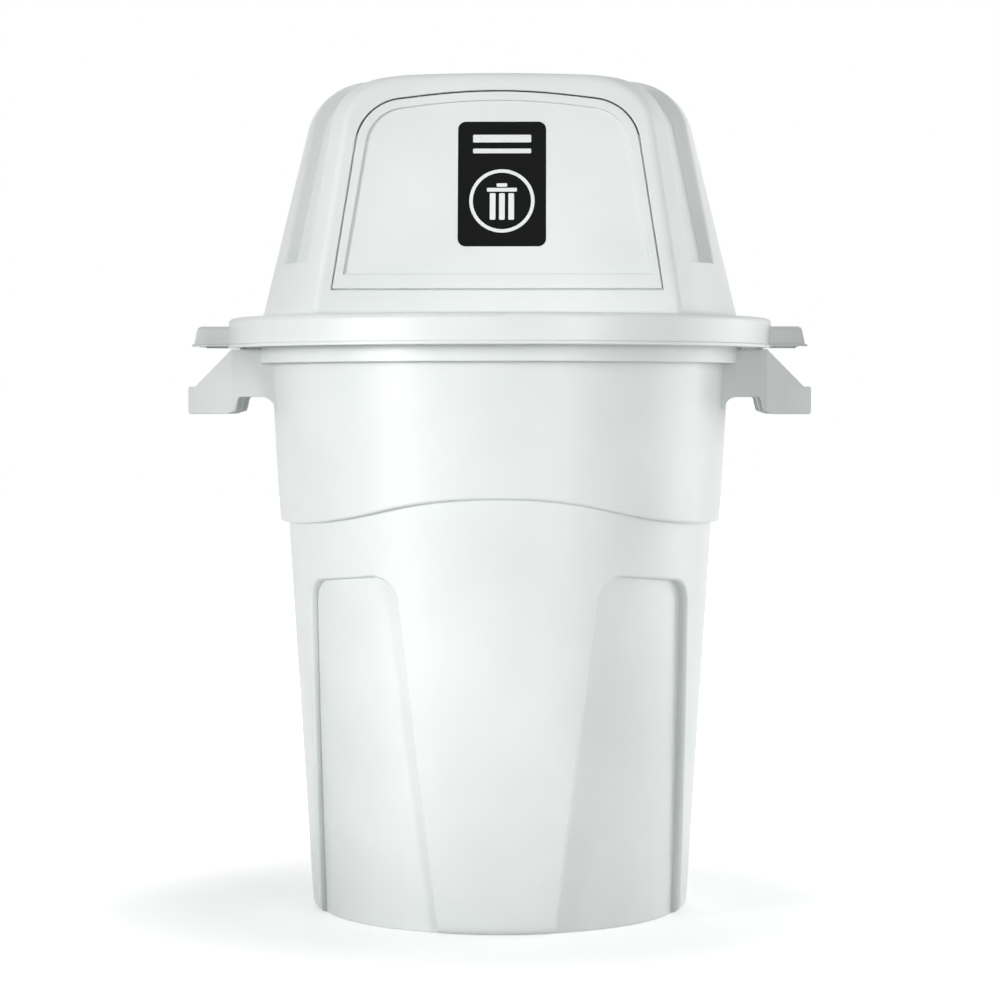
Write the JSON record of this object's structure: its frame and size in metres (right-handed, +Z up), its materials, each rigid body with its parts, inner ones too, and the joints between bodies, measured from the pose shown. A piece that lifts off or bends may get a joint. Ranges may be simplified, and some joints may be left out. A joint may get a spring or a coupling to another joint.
{
  "type": "trash can",
  "caption": "Round tapered plastic trash can with moulded side handles, lift-off dome lid and an inward push door on a sprung hinge.",
  "frame": {"origin": "middle of the underside of the container's floor", "axes": "+Z up, the door faces -Y, the handles lie along X"},
  "size_m": [0.728, 0.645, 0.979],
  "materials": {
    "plastic_white": "fine satin moulded grain",
    "steel": "bright drawn wire"
  },
  "bodies": {
    "can": {"container": "plastic_white"},
    "lid": {"lid": "plastic_white", "hinge_rod": "steel", "rod_cap_left": "steel", "rod_cap_right": "steel", "spring_left": "steel", "spring_right": "steel"},
    "door": {"door": "plastic_white"}
  },
  "joints": [
    {"name": "lid_lift", "type": "slide", "parent": "can", "child": "lid", "axis": [0, 0, 1], "range_m": [0, 0.3]},
    {"name": "door_swing", "type": "hinge", "parent": "lid", "child": "door", "pos_m": [0, -0.12729, 0.92485], "axis": [1, 0, 0], "range_deg": [0, 75], "stiffness_Nm_per_rad": 0.3, "springref_deg": -57.3, "deforming": ["spring_left", "spring_right"]}
  ]
}
